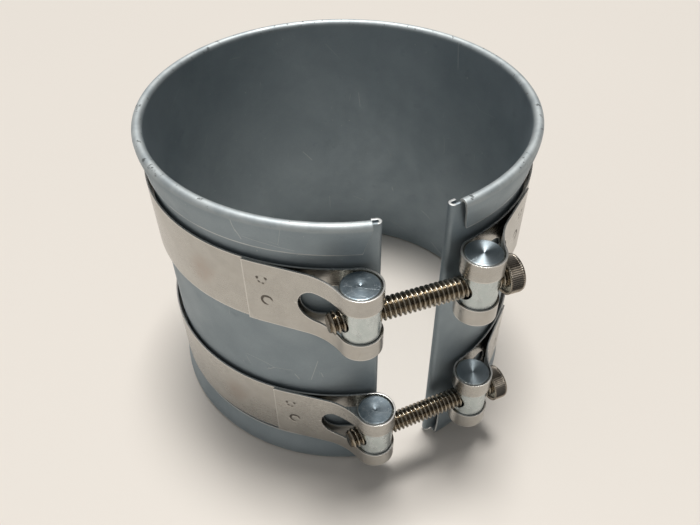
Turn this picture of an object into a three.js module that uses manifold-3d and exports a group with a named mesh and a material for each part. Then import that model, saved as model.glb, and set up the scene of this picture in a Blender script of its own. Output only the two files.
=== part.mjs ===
// Pipe coupling: a C-shaped sheet sleeve, two bands round it, and in each band a threaded trunnion, a plain
// trunnion and a cap screw that draws them together. Millimetres, +Z up, the gap of the sleeve faces -Y.
import * as THREE from "three";
import { mergeVertices } from "three/addons/utils/BufferGeometryUtils.js";
import Module from "manifold-3d";

const wasm = await Module();
wasm.setup();

// Sleeve
const HEIGHT = 77.5;
const SHEET = 0.6;
const BORE_RADIUS = 44.6;
const HEM_DEPTH = 7.8;
const HEM_GAP = 1.2; // air between the two layers at the rim
const HEM_END_GAP = 0.12; // air between the hem's end and the wall
const HEM_END_AT_RIM = 11.7; // degrees from the middle of the gap
const HEM_END_AT_EDGE = 13.8;
const GAP_HALF_WIDTH = 6.87;
const FOLD_GAP = 0.7;
const FOLD_DEPTH = 1.1;
const AZIMUTH_STEP = 6;
const BEND_SEGMENTS = 5; // odd, so that the rim has a flat facet to stand on

// Bands
const STRAP = 0.4;
const BAND_WIDTH = 16.8;
const BAND_CLEARANCE = 0.5; // between sleeve and band, which is only lightly tightened
const LOOP_CLEARANCE = 0.3; // between trunnion and loop
const LAP_CLEARANCE = 0.12;
const UPPER_BAND_Z = 58.1;
const LOWER_BAND_Z = 17.7;
const LOWER_BAND_TURN = 4; // degrees round the sleeve
const LAP_END_ANGLE = 44;
const LAP_START_ANGLE = 40;
const LEG_BEND_RADIUS = 15;
const SLOT_WIDTH = 8;
const SLOT_START = 8.4; // along the outer leg, from where it leaves the sleeve
const SLOT_END_ANGLE = 29.5; // on the inner leg
const SLOT_CUT_THICKNESS = 1.1;
const SLOT_SEGMENTS = 32;
const SLOT_END_SEGMENTS = 6;
const LOOP_SEGMENTS = 16;
const LAP_POINTS = 3;
const WELD_ANGLE = 38;
const WELD_HEIGHTS = [-1.6, 4.6];
const WELD_RADIUS = 1.8;
const WELD_SEGMENTS = 12;

// Trunnions and screws, for a number 10-24 thread
const TRUNNION_RADIUS = 4.175;
const TRUNNION_LENGTH = 16.4;
const TRUNNION_CHAMFER = 0.35;
const TRUNNION_ANGLE = 15;
const ROUND_SEGMENTS = 32;
const TAPPED_RADIUS = 2.7;
const PLAIN_RADIUS = 2.8;
const SCREW_RADIUS = 2.413;
const SCREW_ROOT_RADIUS = 1.84;
const THREAD_PITCH = 25.4 / 24;
const THREAD_SEGMENTS = 10;
const SCREW_LENGTH = 38.1;
const HEAD_RADIUS = 4.2;
const HEAD_HEIGHT = 3.6;
const HEAD_CHAMFER = 0.4;
const HEAD_CLEARANCE = 0.25;
const KNURL_DEPTH = 0.12;
const KNURL_SEGMENTS = 48;
const SOCKET_WIDTH = 3.97;
const SOCKET_DEPTH = 2.2;

const WALL_RADIUS = BORE_RADIUS + SHEET / 2;
const BAND_RADIUS = BORE_RADIUS + SHEET + BAND_CLEARANCE + STRAP / 2;
const LAP_RADIUS = BAND_RADIUS + STRAP + LAP_CLEARANCE;
const LOOP_RADIUS = TRUNNION_RADIUS + LOOP_CLEARANCE + STRAP / 2;
const TRUNNION_DISTANCE = BAND_RADIUS + LOOP_RADIUS;
const LOWEST_LOOP_ANGLE = THREE.MathUtils.degToRad(TRUNNION_ANGLE - LOWER_BAND_TURN);
const FRONT_REACH = TRUNNION_DISTANCE * Math.cos(LOWEST_LOOP_ANGLE) + LOOP_RADIUS + STRAP / 2;
const RIM_RADIUS = WALL_RADIUS + SHEET + HEM_GAP + SHEET / 2;
const RING_AXIS_Y = (FRONT_REACH - RIM_RADIUS) / 2; // puts the middle of the whole part on the Z axis

const radians = THREE.MathUtils.degToRad;

// The point at an angle in degrees from the middle of the gap, positive towards +X.
function around(angle, radius) {
  const a = radians(angle);
  return new THREE.Vector2(radius * Math.sin(a), -radius * Math.cos(a));
}

function steps(from, to, count) {
  return Array.from({ length: count + 1 }, (_, i) => from + ((to - from) * i) / count);
}

function arc(centre, radius, from, to, count) {
  return steps(radians(from), radians(to), count).map(
    (a) => new THREE.Vector2(centre.x + radius * Math.cos(a), centre.y + radius * Math.sin(a)),
  );
}

// Half a sheet's thickness to the right of an open path, mitred at each corner.
function sideSteps(path, half) {
  return path.map((p, i) => {
    const before = path[Math.max(i - 1, 0)];
    const after = path[Math.min(i + 1, path.length - 1)];
    const into = p.clone().sub(before);
    const out = after.clone().sub(p);
    const first = (into.lengthSq() ? into : out).normalize();
    const last = (out.lengthSq() ? out : into).normalize();
    const along = first.clone().add(last).normalize();
    const stretch = half / along.dot(first);
    return new THREE.Vector2(along.y * stretch, -along.x * stretch);
  });
}

// A closed mesh from corner points and faces; corners that fall together become one.
function meshFrom(corners, faces) {
  const numbers = new Map();
  const positions = [];
  const ids = corners.map((c) => {
    const key = c.map((v) => v.toFixed(5)).join();
    if (!numbers.has(key)) {
      numbers.set(key, numbers.size);
      positions.push(...c);
    }
    return numbers.get(key);
  });
  const triangles = [];
  for (const face of faces) {
    for (let i = 1; i + 1 < face.length; i++) {
      const [a, b, c] = [ids[face[0]], ids[face[i]], ids[face[i + 1]]];
      if (a !== b && b !== c && a !== c) triangles.push(a, b, c);
    }
  }
  return { positions: new Float32Array(positions), triangles: new Uint32Array(triangles) };
}

function solidFrom(corners, faces) {
  const { positions, triangles } = meshFrom(corners, faces);
  const made = new wasm.Manifold(
    new wasm.Mesh({ numProp: 3, vertProperties: positions, triVerts: triangles }),
  );
  if (made.volume() > 0) return made;
  return solidFrom(corners, faces.map((face) => [...face].reverse()));
}

// A bent sheet: middle(i, j) and side(i, j) are its middle surface and half its thickness at each grid corner,
// and present(i, j) tells which cells of the flat blank are there.
function sheetSolid(columns, rows, middle, side, present) {
  const corners = [];
  for (const sign of [1, -1]) {
    for (let i = 0; i < columns; i++) {
      for (let j = 0; j < rows; j++) {
        corners.push(middle(i, j).clone().addScaledVector(side(i, j), sign).toArray());
      }
    }
  }
  const front = (i, j) => i * rows + j;
  const back = (i, j) => columns * rows + front(i, j);
  const here = (i, j) => i >= 0 && j >= 0 && i < columns - 1 && j < rows - 1 && present(i, j);
  const faces = [];
  const edge = (a, b) => faces.push([front(...a), back(...a), back(...b), front(...b)]);
  for (let i = 0; i < columns - 1; i++) {
    for (let j = 0; j < rows - 1; j++) {
      if (!here(i, j)) continue;
      const cell = [[i, j], [i + 1, j], [i + 1, j + 1], [i, j + 1]];
      faces.push(cell.map((c) => front(...c)));
      faces.push(cell.map((c) => back(...c)).reverse());
      if (!here(i, j - 1)) edge(cell[0], cell[1]);
      if (!here(i + 1, j)) edge(cell[1], cell[2]);
      if (!here(i, j + 1)) edge(cell[2], cell[3]);
      if (!here(i - 1, j)) edge(cell[3], cell[0]);
    }
  }
  return solidFrom(corners, faces);
}

// The sleeve's section from the middle of its height to the end of the upper hem, as (radius, z).
function upperProfile() {
  const bend = (HEM_GAP + SHEET) / 2;
  const facet = bend * Math.cos(Math.PI / BEND_SEGMENTS / 2);
  const centre = new THREE.Vector2(WALL_RADIUS + bend, HEIGHT - SHEET / 2 - facet);
  const rim = arc(centre, bend, 180, 0, BEND_SEGMENTS);
  const hemEnd = new THREE.Vector2(WALL_RADIUS + SHEET + HEM_END_GAP, HEIGHT - HEM_DEPTH);
  return [...rim, hemEnd];
}

// The fold at one edge of the gap, seen from above, from the wall to its inner end, on the +X side.
function gapFold() {
  const bend = (FOLD_GAP + SHEET) / 2;
  const foldRadius = WALL_RADIUS - bend;
  const start = THREE.MathUtils.radToDeg(
    Math.asin((GAP_HALF_WIDTH + bend + SHEET / 2) / foldRadius),
  );
  const centre = around(start, foldRadius);
  const outward = start - 90;
  const hairpin = arc(centre, bend, outward, outward - 180, BEND_SEGMENTS);
  const depth = THREE.MathUtils.radToDeg(FOLD_DEPTH / foldRadius);
  const innerLayer = steps(start, start + depth, 2).slice(1);
  return { start, path: [...hairpin, ...innerLayer.map((a) => around(a, WALL_RADIUS - 2 * bend))] };
}

function mirrored(path) {
  return path.map((p) => new THREE.Vector2(-p.x, p.y)).reverse();
}

function sleeveSolid() {
  const upper = upperProfile();
  const lower = upper.map((p) => new THREE.Vector2(p.x, HEIGHT - p.y)).reverse();
  const profile = [...lower, ...upper];
  const profileSides = sideSteps(profile, SHEET / 2);
  const wallRows = [lower.length - 1, lower.length];

  const fold = gapFold();
  const firstStep = Math.ceil(HEM_END_AT_EDGE / AZIMUTH_STEP) * AZIMUTH_STEP;
  const count = (360 - 2 * firstStep) / AZIMUTH_STEP;
  const hemAngles = [HEM_END_AT_RIM, ...steps(firstStep, 360 - firstStep, count), 360 - HEM_END_AT_RIM];
  const foldPath = fold.path;
  const plan = [
    ...[...foldPath].reverse(),
    ...hemAngles.map((a) => around(a, WALL_RADIUS)),
    ...mirrored([...foldPath].reverse()),
  ];
  const planSides = sideSteps(plan, SHEET / 2);
  const firstHem = foldPath.length;
  const lastHem = firstHem + hemAngles.length - 1;
  const inWall = (j) => wallRows.includes(j);
  const inHems = (i) => i >= firstHem && i <= lastHem;

  // The hems' end columns lean away from the gap towards the hem's free edge.
  function hemAngle(i, j) {
    const free = j === 0 || j === profile.length - 1;
    if (free && i === firstHem) return HEM_END_AT_EDGE;
    if (free && i === lastHem) return 360 - HEM_END_AT_EDGE;
    return hemAngles[i - firstHem];
  }
  function middle(i, j) {
    if (inWall(j) || !inHems(i)) {
      const row = j < wallRows[1] ? wallRows[0] : wallRows[1];
      return new THREE.Vector3(plan[i].x, plan[i].y, profile[row].y);
    }
    const p = around(hemAngle(i, j), profile[j].x);
    return new THREE.Vector3(p.x, p.y, profile[j].y);
  }
  function side(i, j) {
    if (inWall(j) || !inHems(i)) return new THREE.Vector3(planSides[i].x, planSides[i].y, 0);
    const p = around(hemAngle(i, j), profileSides[j].x);
    return new THREE.Vector3(p.x, p.y, profileSides[j].y);
  }
  const present = (i, j) => j === wallRows[0] || (inHems(i) && inHems(i + 1));
  return sheetSolid(plan.length, profile.length, middle, side, present);
}

// One band's middle line on the +X side, from the lap's end to the inner leg.
function bandHalf() {
  const trunnion = around(TRUNNION_ANGLE, TRUNNION_DISTANCE);
  const leave = around(LAP_START_ANGLE, LAP_RADIUS);
  const outward = leave.clone().normalize();
  const along = new THREE.Vector2(outward.y, -outward.x);
  const toTrunnion = trunnion.clone().sub(leave);
  const rise = LEG_BEND_RADIUS - toTrunnion.dot(outward);
  const run = Math.sqrt((LOOP_RADIUS + LEG_BEND_RADIUS) ** 2 - rise ** 2);
  const bendCentre = leave
    .clone()
    .addScaledVector(along, toTrunnion.dot(along) - run)
    .addScaledVector(outward, LEG_BEND_RADIUS);
  const bendFrom = bearing(outward.clone().negate());
  const bendTo = bearing(trunnion.clone().sub(bendCentre));
  const loopFrom = bendTo - 180;
  const loopTo = bearing(trunnion) - 180;
  const lap = steps(LAP_END_ANGLE, LAP_START_ANGLE, LAP_POINTS - 1).map((a) => around(a, LAP_RADIUS));
  const bend = arc(bendCentre, LEG_BEND_RADIUS, bendFrom, bendTo, BEND_SEGMENTS);
  const loop = arc(trunnion, LOOP_RADIUS, loopFrom, loopTo - 360, LOOP_SEGMENTS);
  return [...lap, ...bend, ...loop.slice(1)];
}

// The direction of a vector in degrees, from 0 up to 360.
function bearing(v) {
  return (THREE.MathUtils.radToDeg(Math.atan2(v.y, v.x)) + 360) % 360;
}

function bandPath() {
  const half = bandHalf();
  const sweep = 360 - 2 * TRUNNION_ANGLE;
  const count = Math.round(sweep / AZIMUTH_STEP);
  const round = steps(TRUNNION_ANGLE, 360 - TRUNNION_ANGLE, count).slice(1, -1);
  return [...half, ...round.map((a) => around(a, BAND_RADIUS)), ...mirrored(half)];
}

// A walk along a path: the point and the side step at any distance from its start.
function walker(path, half) {
  const sides = sideSteps(path, half);
  const distances = [0];
  path.slice(1).forEach((p, i) => distances.push(distances[i] + p.distanceTo(path[i])));
  function at(distance) {
    const next = distances.findIndex((d) => d > distance);
    const t = (distance - distances[next - 1]) / (distances[next] - distances[next - 1]);
    return {
      point: path[next - 1].clone().lerp(path[next], t),
      side: sides[next - 1].clone().lerp(sides[next], t),
    };
  }
  return { at, distances };
}

// The slot through one loop: wider than the strip is thick, with half-round ends.
function slotCutter(path) {
  const { at, distances } = walker(path, SLOT_CUT_THICKNESS / 2);
  const half = bandHalf();
  const leave = distances[LAP_POINTS - 1];
  const innerLeg = radians(SLOT_END_ANGLE - TRUNNION_ANGLE) * BAND_RADIUS;
  const start = leave + SLOT_START;
  const end = distances[half.length - 1] + innerLeg;
  const radius = SLOT_WIDTH / 2;
  const heights = steps(-Math.PI / 2, Math.PI / 2, SLOT_END_SEGMENTS).map((a) => radius * Math.sin(a));
  const shares = steps(0, 1, SLOT_SEGMENTS);
  function spot(i, j) {
    const rounding = radius - Math.sqrt(Math.max(radius ** 2 - heights[j] ** 2, 0));
    return at(THREE.MathUtils.lerp(start + rounding, end - rounding, shares[i]));
  }
  const middle = (i, j) => new THREE.Vector3(...spot(i, j).point, heights[j]);
  const side = (i, j) => new THREE.Vector3(...spot(i, j).side, 0);
  return sheetSolid(shares.length, heights.length, middle, side, () => true);
}

function fromGeometry(geometry) {
  const bare = geometry.clone();
  bare.deleteAttribute("normal");
  bare.deleteAttribute("uv");
  const merged = mergeVertices(bare, 1e-4);
  return new wasm.Manifold(
    new wasm.Mesh({
      numProp: 3,
      vertProperties: new Float32Array(merged.attributes.position.array),
      triVerts: new Uint32Array(merged.index.array),
    }),
  );
}

// Nuggets that join the lap to the strip under it.
function weldNugget(angle, height) {
  const middle = around(angle, (BAND_RADIUS + LAP_RADIUS) / 2);
  const nugget = new THREE.CylinderGeometry(WELD_RADIUS, WELD_RADIUS, STRAP, WELD_SEGMENTS);
  nugget.rotateZ(radians(angle));
  nugget.translate(middle.x, middle.y, height);
  return fromGeometry(nugget);
}

function bandSolid() {
  const path = bandPath();
  const sides = sideSteps(path, STRAP / 2);
  const heights = [-BAND_WIDTH / 2, BAND_WIDTH / 2];
  const middle = (i, j) => new THREE.Vector3(path[i].x, path[i].y, heights[j]);
  const side = (i) => new THREE.Vector3(sides[i].x, sides[i].y, 0);
  let band = sheetSolid(path.length, heights.length, middle, side, () => true);
  const slot = slotCutter(path);
  band = band.subtract(slot).subtract(slot.mirror([1, 0, 0]));
  for (const angle of [WELD_ANGLE, -WELD_ANGLE]) {
    for (const height of WELD_HEIGHTS) band = band.add(weldNugget(angle, height));
  }
  return band;
}

// A rod standing on its band's middle height, with a cross hole along X.
function trunnionSolid(holeRadius, sign) {
  const end = TRUNNION_LENGTH / 2;
  const profile = [
    [0, -end],
    [TRUNNION_RADIUS - TRUNNION_CHAMFER, -end],
    [TRUNNION_RADIUS, TRUNNION_CHAMFER - end],
    [TRUNNION_RADIUS, end - TRUNNION_CHAMFER],
    [TRUNNION_RADIUS - TRUNNION_CHAMFER, end],
    [0, end],
  ].map(([r, h]) => new THREE.Vector2(r, h));
  const rod = new THREE.LatheGeometry(profile, ROUND_SEGMENTS);
  rod.rotateX(Math.PI / 2);
  const hole = new THREE.CylinderGeometry(holeRadius, holeRadius, 4 * TRUNNION_RADIUS, ROUND_SEGMENTS);
  hole.rotateZ(Math.PI / 2);
  const place = around(sign * TRUNNION_ANGLE, TRUNNION_DISTANCE);
  return fromGeometry(rod).subtract(fromGeometry(hole)).translate([place.x, place.y, 0]);
}

// Rings of corners along Z, each given by its radius and height at a step round the axis. A ring at step
// `segments` meets the ring `lead` places further on, which makes a helix when lead isn't 0.
function turnedSolid(rings, segments, lead) {
  const corners = [];
  for (const ring of rings) {
    for (let i = 0; i < segments; i++) {
      const [radius, height] = ring(i);
      const a = (2 * Math.PI * i) / segments;
      corners.push([radius * Math.cos(a), radius * Math.sin(a), height]);
    }
  }
  const last = rings.length - 1;
  const corner = (ring, i) =>
    i < segments ? ring * segments + i : Math.min(ring + lead, last) * segments;
  const faces = [];
  for (let ring = 0; ring < last; ring++) {
    for (let i = 0; i < segments; i++) {
      faces.push([corner(ring, i), corner(ring, i + 1), corner(ring + 1, i + 1), corner(ring + 1, i)]);
    }
  }
  const whole = (ring) => Array.from({ length: segments }, (_, i) => ring * segments + i);
  faces.push(whole(0).reverse(), whole(last));
  return solidFrom(corners, faces);
}

// The threaded shank from its tip at height 0 up to where it runs into the head.
function shankSolid() {
  const length = SCREW_LENGTH + HEAD_CHAMFER;
  const rows = 2 * Math.ceil(length / THREAD_PITCH) + 4;
  const rings = Array.from({ length: rows }, (_, k) => (i) => {
    const height = THREAD_PITCH * ((k - 2) / 2 + i / THREAD_SEGMENTS);
    const inside = height > 0 && height < length;
    const crest = inside && k % 2 === 1;
    return [crest ? SCREW_RADIUS : SCREW_ROOT_RADIUS, THREE.MathUtils.clamp(height, 0, length)];
  });
  return turnedSolid(rings, THREAD_SEGMENTS, 2);
}

function headSolid() {
  const knurl = (i) => HEAD_RADIUS - (i % 2) * KNURL_DEPTH;
  const perSide = KNURL_SEGMENTS / 6;
  const hexagon = (i) => {
    const fromFlat = ((i % perSide) - perSide / 2) / KNURL_SEGMENTS;
    return SOCKET_WIDTH / 2 / Math.cos(2 * Math.PI * fromFlat);
  };
  const bevel = HEAD_CHAMFER / 2;
  const top = HEAD_HEIGHT;
  const rings = [
    () => [HEAD_RADIUS - bevel, 0],
    (i) => [knurl(i), bevel],
    (i) => [knurl(i), top - HEAD_CHAMFER],
    () => [HEAD_RADIUS - HEAD_CHAMFER, top],
    (i) => [hexagon(i), top],
    (i) => [hexagon(i), top - SOCKET_DEPTH],
  ];
  return turnedSolid(rings, KNURL_SEGMENTS, 0).translate([0, 0, SCREW_LENGTH]);
}

// A cap screw in its band's place: the head bears on the right loop and the tip points to -X.
function screwSolid() {
  const place = around(TRUNNION_ANGLE, TRUNNION_DISTANCE);
  const underHead = place.x + LOOP_RADIUS + STRAP / 2 + HEAD_CLEARANCE;
  return shankSolid()
    .add(headSolid())
    .rotate([0, 90, 0])
    .translate([underHead - SCREW_LENGTH, place.y, 0]);
}

const MATERIALS = {
  sleeve: { color: 0x7d8487, roughness: 0.45, metalness: 0.3 },
  band: { color: 0xa59e91, roughness: 0.32, metalness: 0.9 },
  trunnion: { color: 0xaab4b6, roughness: 0.25, metalness: 0.9 },
  screw: { color: 0x8c8069, roughness: 0.3, metalness: 0.9 },
};

function pieceMesh(name, solid, material, height, turn) {
  const { vertProperties, numProp, triVerts } = solid.getMesh();
  const buffer = new THREE.InterleavedBuffer(vertProperties, numProp);
  const geometry = new THREE.BufferGeometry();
  geometry.setAttribute("position", new THREE.InterleavedBufferAttribute(buffer, 3, 0));
  geometry.setIndex(new THREE.BufferAttribute(triVerts, 1));
  const flat = geometry.toNonIndexed();
  flat.computeVertexNormals();
  const mesh = new THREE.Mesh(flat, new THREE.MeshStandardMaterial(MATERIALS[material]));
  mesh.name = name;
  mesh.position.set(0, RING_AXIS_Y, height);
  mesh.rotation.z = radians(turn);
  return mesh;
}

const coupling = new THREE.Group();
coupling.name = "pipe_coupling";
coupling.add(pieceMesh("sleeve", sleeveSolid(), "sleeve", 0, 0));
for (const [place, height, turn] of [
  ["upper", UPPER_BAND_Z, 0],
  ["lower", LOWER_BAND_Z, LOWER_BAND_TURN],
]) {
  const pieces = [
    ["band", bandSolid(), "band"],
    ["threaded_trunnion", trunnionSolid(TAPPED_RADIUS, -1), "trunnion"],
    ["plain_trunnion", trunnionSolid(PLAIN_RADIUS, 1), "trunnion"],
    ["cap_screw", screwSolid(), "screw"],
  ];
  for (const [piece, solid, material] of pieces) {
    coupling.add(pieceMesh(`${piece}_${place}`, solid, material, height, turn));
  }
}

export default coupling;
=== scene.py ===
"""A pipe coupling on a pale floor: a split sheet sleeve, two looped bands, four trunnions, two cap screws.

Lengths are in millimetres until a mesh is made, and in metres in the materials, the light and the camera.
Plan means seen from above, measured from the ring's axis. Angles round the ring are in degrees from the
middle of the gap.
"""

import math

import bmesh
import bpy
from mathutils import Matrix, Vector


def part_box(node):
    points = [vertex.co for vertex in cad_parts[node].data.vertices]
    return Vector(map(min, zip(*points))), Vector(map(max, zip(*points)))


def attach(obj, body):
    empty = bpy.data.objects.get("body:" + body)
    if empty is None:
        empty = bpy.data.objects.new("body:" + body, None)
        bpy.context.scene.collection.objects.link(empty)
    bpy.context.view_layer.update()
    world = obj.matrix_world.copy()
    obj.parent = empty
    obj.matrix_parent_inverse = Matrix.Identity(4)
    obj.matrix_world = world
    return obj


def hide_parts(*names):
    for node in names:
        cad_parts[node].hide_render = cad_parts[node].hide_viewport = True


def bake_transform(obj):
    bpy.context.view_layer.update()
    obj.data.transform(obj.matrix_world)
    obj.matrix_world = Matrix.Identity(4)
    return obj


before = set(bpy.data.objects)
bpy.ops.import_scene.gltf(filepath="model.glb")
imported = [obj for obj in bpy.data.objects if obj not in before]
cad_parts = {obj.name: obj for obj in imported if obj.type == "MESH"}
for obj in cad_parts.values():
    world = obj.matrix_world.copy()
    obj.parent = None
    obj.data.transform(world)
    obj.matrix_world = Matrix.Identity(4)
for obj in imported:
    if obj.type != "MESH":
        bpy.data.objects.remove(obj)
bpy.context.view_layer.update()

MM = 0.001


def box_mm(node):
    low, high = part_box(node)
    return low / MM, high / MM


# The ring
_, SLEEVE_HIGH = box_mm("sleeve")
HEIGHT = SLEEVE_HIGH.z
RIM_RADIUS = SLEEVE_HIGH.x
RING_Y = SLEEVE_HIGH.y - RIM_RADIUS
SHEET = 0.6
HEM_GAP = 1.2
HEM_DEPTH = 7.8
HEM_END_GAP = 0.12
HEM_END_AT_RIM = 11.7
HEM_END_AT_EDGE = 13.8
GAP_HALF_WIDTH = 6.87
FOLD_GAP = 0.7
FOLD_DEPTH = 1.1
RIM_BEND = (HEM_GAP + SHEET) / 2
FOLD_BEND = (FOLD_GAP + SHEET) / 2
WALL_RADIUS = RIM_RADIUS - SHEET / 2 - 2 * RIM_BEND
BEND_LEVEL = HEIGHT - SHEET / 2 - RIM_BEND  # where the wall turns into the rim
RIM_CROWN = BEND_LEVEL - HEIGHT / 2 + RIM_BEND * math.pi / 2  # across the flat blank from its middle

# The bands
BAND_LOW, BAND_HIGH = box_mm("band_upper")
BAND_WIDTH = BAND_HIGH.z - BAND_LOW.z
STRAP = 0.4
LAP_CLEARANCE = 0.12
LOOP_CLEARANCE = 0.1  # the loops are drawn snug, and the plain solids stand 0.3 off
LAP_END_ANGLE = 44
LAP_START_ANGLE = 40
LEG_BEND_RADIUS = 15
SLOT_WIDTH = 8
SLOT_START = 8.4
SLOT_END_ANGLE = 29.5
LOWER_BAND_TURN = math.radians(4)

# The weld marks on the laps, placed from the middle of the weld
WELD_ANGLE = 38
WELD_REACH = 3
WELD_LOWEST, WELD_HIGHEST = -4.6, 7.4
WELD_CUTS = 6
DARK_DEPTH = 0.08  # a dent this deep is fully dark
SCAR_PLACE = Vector((0, -1.6))
SCAR_RADIUS = 1.2
SCAR_WIDTH = 0.22
SCAR_DEPTH = 0.14
SCAR_TURN = 0.2 * math.pi
SCAR_OPENING = 0.95  # the less it is, the wider the ring is open
SCAR_LEAST = 0.1  # the share of its depth that the ring keeps where it is open
FAINT_RING_PLACE = Vector((-0.75, 4.1))
FAINT_RING_RADIUS = 1.0
FAINT_RING_WIDTH = 0.25
FAINT_RING_DEPTH = 0.022
PIT_WIDTH = 0.26
# Along, across and depth, from the middle of the faint ring
PITS = ((-0.95, 0.35, 0.12), (0.95, 0.45, 0.12), (-0.6, -0.7, 0.06), (0.25, -1, 0.05))

# The trunnions and the screws
TRUNNION_LOW, TRUNNION_HIGH = box_mm("plain_trunnion_upper")
TRUNNION_RADIUS = (TRUNNION_HIGH.x - TRUNNION_LOW.x) / 2
TRUNNION_END = (TRUNNION_HIGH.z - TRUNNION_LOW.z) / 2
TRUNNION_MIDDLE = (TRUNNION_LOW + TRUNNION_HIGH) / 2
TRUNNION_PLAN = Vector((TRUNNION_MIDDLE.x, TRUNNION_MIDDLE.y - RING_Y))
LOOP_RADIUS = TRUNNION_RADIUS + LOOP_CLEARANCE + STRAP / 2
BAND_RADIUS = TRUNNION_PLAN.length - LOOP_RADIUS
LAP_RADIUS = BAND_RADIUS + STRAP + LAP_CLEARANCE
TAPPED_RADIUS = 2.5
PLAIN_RADIUS = 2.8
# Radius, and depth below the end
DIMPLE = ((0.03, 0.14), (0.2, 0.09), (0.36, 0.02), (0.5, 0))
# In from the side, and depth below the end
CHAMFER = ((0.62, 0), (0.4, 0), (0.3, 0.05), (0.07, 0.28), (0, 0.4), (0, 0.7))
SHAFT_REACH = 5
SHAFT_STEP = 2
SCREW_LOW, SCREW_HIGH = box_mm("cap_screw_upper")
HEAD_RADIUS = 4.2
HEAD_HEIGHT = 3.6
# In from the head's side, with the height above its underside, and with the depth below its top
HEAD_FOOT = ((0.45, 0), (0.28, 0.05))
HEAD_CROWN = ((0.05, 0.55), (0.16, 0.25), (0.42, 0.04), (0.65, 0))
KNURLS = 56
KNURL_SEGMENTS = 6
KNURL_DEPTH = 0.16
KNURL_POWER = 0.8  # below one, the grooves are wider than the ridges
KNURL_STARTS = (0.25, 0.4)  # above the underside
KNURL_ENDS = (0.95, 0.7)  # below the top
SHANK_LENGTH = SCREW_HIGH.x - SCREW_LOW.x - HEAD_HEIGHT
SCREW_RADIUS = 2.413
SCREW_ROOT_RADIUS = 1.8
THREAD_PITCH = 25.4 / 24
TURNS_BELOW_TIP = 2  # cut off once the thread is made, as is what lies above its end
# The share of a pitch, and how far the thread rises from root to crest there
THREAD_SHAPE = (
    (0, 1), (0.05, 1), (0.09, 0.97), (0.14, 0.86), (0.36, 0.14), (0.43, 0.03), (0.5, 0),
    (0.57, 0.03), (0.64, 0.14), (0.86, 0.86), (0.91, 0.97), (0.95, 1), (1, 1),
)
TIP_CHAMFER = 0.1
SOCKET_WIDTH = 3.97
SOCKET_DEPTH = 2.2
SOCKET_CHAMFER = 0.12
SOCKET_LIP = 0.2  # the width of the lip round the socket's chamfer, and the chamfer's depth
DRILL_DEPTH = 0.7  # the cone below the socket

# The meshes
EDGE_ROUNDING = 0.1
SUPPORT = 0.28  # how far inside an edge an extra row lies, to keep the flat of the sheet flat
FAR = 9  # stands for any distance from a cut edge too great to matter
SHARP_ANGLE = math.radians(38)
ROUNDED_ANGLE = math.radians(55)
SAME = 1e-6
ON_PLANE = 1e-5
MERGED = 1e-4
TINY = 1e-3
FACING = 0.9  # how squarely a face of the lap looks outwards to be its outer one
ORIGIN = Vector((0, 0))
RIM_STEP = math.pi / 16
LAYER_STEP = 0.8
WALL_STEP = 4
FOLD_STEP = 1.2
HAIRPIN_STEPS = 14
EVEN_FROM_ANGLE = 15.5
ANGLE_STEP = 1.5
LAP_STEP = 1
SLOT_STEP = 0.4
SLOT_END_STEP = math.pi / 28
SLOT_MARGIN = 1  # how far past its ends the slot's edge still counts as a cut edge
ROWS_BETWEEN = (0.3, 0.5, 0.7)  # shares of the way from the slot to the band's edge
BAND_STEP = 1.2
TRUNNION_SEGMENTS = 128
HOLE_SEGMENTS = 64
THREAD_SEGMENTS = 48
HEAD_OVERLAP = 0.4  # how far the shank reaches into the head

# The camera, the light and the floor, in metres and degrees unless they say otherwise
CAMERA_PLACE = Vector((-44.8, -130.6 + RING_Y, 152.66))  # millimetres
CAMERA_AIM = Vector((-2.52, -14.03 + RING_Y, 38.75))  # millimetres
CAMERA_ROLL = -0.615
CAMERA_LENS = 33.76
SENSOR_WIDTH = 36
LAMP_PLACE = (0.36, 0.72, 4.8)
LAMP_TARGET = (0, 0, 0.03)
LAMP_SIZE = (1.6, 1.2)
LAMP_POWER = 216
LAMP_TINT = (1, 0.985, 0.96)
SKY_SLOPE = (-0.45, 0, 1)  # how the sky brightens along each axis
SKY_LOW = (0.14, 0.14, 0.14, 1)
SKY_HIGH = (1, 1, 1, 1)
SKY_STRENGTH = 0.42
BACKDROP = (0.8, 0.76, 0.7, 1)
FLOOR_SIZE = 30
FLOOR_SHADE = (0.72, 0.675, 0.62)
FLOOR_ROUGHNESS = 0.6


# ------------------------------------------------------------------------ paths in plan


def around(angle, radius):
    """The plan point at an angle round the ring, positive towards +X."""
    a = math.radians(angle)
    return Vector((radius * math.sin(a), -radius * math.cos(a)))


def bearing(v):
    return math.atan2(v.y, v.x)


def straight(start, end):
    """A straight stretch of path: its length, and its point and right-hand side at a distance along it."""
    along = (end - start).normalized()
    side = Vector((along.y, -along.x))
    return (end - start).length, lambda d: (start + along * d, side)


def bend(centre, radius, start, end):
    """A round stretch of path between two bearings, anticlockwise where end is the greater."""
    turn = 1 if end > start else -1

    def at(distance):
        a = start + turn * distance / radius
        out = Vector((math.cos(a), math.sin(a)))
        return centre + out * radius, out * turn

    return abs(end - start) * radius, at


def joined(stretches):
    """One path out of stretches end to end."""

    def at(distance):
        for length, place in stretches[:-1]:
            if distance < length:
                return place(distance)
            distance -= length
        return stretches[-1][1](distance)

    return sum(length for length, _ in stretches), at


def spaced(start, end, step):
    count = max(1, round(abs(end - start) / step))
    return [start + (end - start) * i / count for i in range(count + 1)]


def merged(*runs):
    """Runs of rising numbers joined into one, without the numbers that two runs share."""
    out = list(runs[0])
    for run in runs[1:]:
        out += [v for v in run if v > out[-1] + SAME]
    return out


def distances_along(points):
    """How far each point is from the first, along the line through them."""
    lengths = [0]
    for a, b in zip(points, points[1:]):
        lengths.append(lengths[-1] + (b - a).length)
    return lengths


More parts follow.
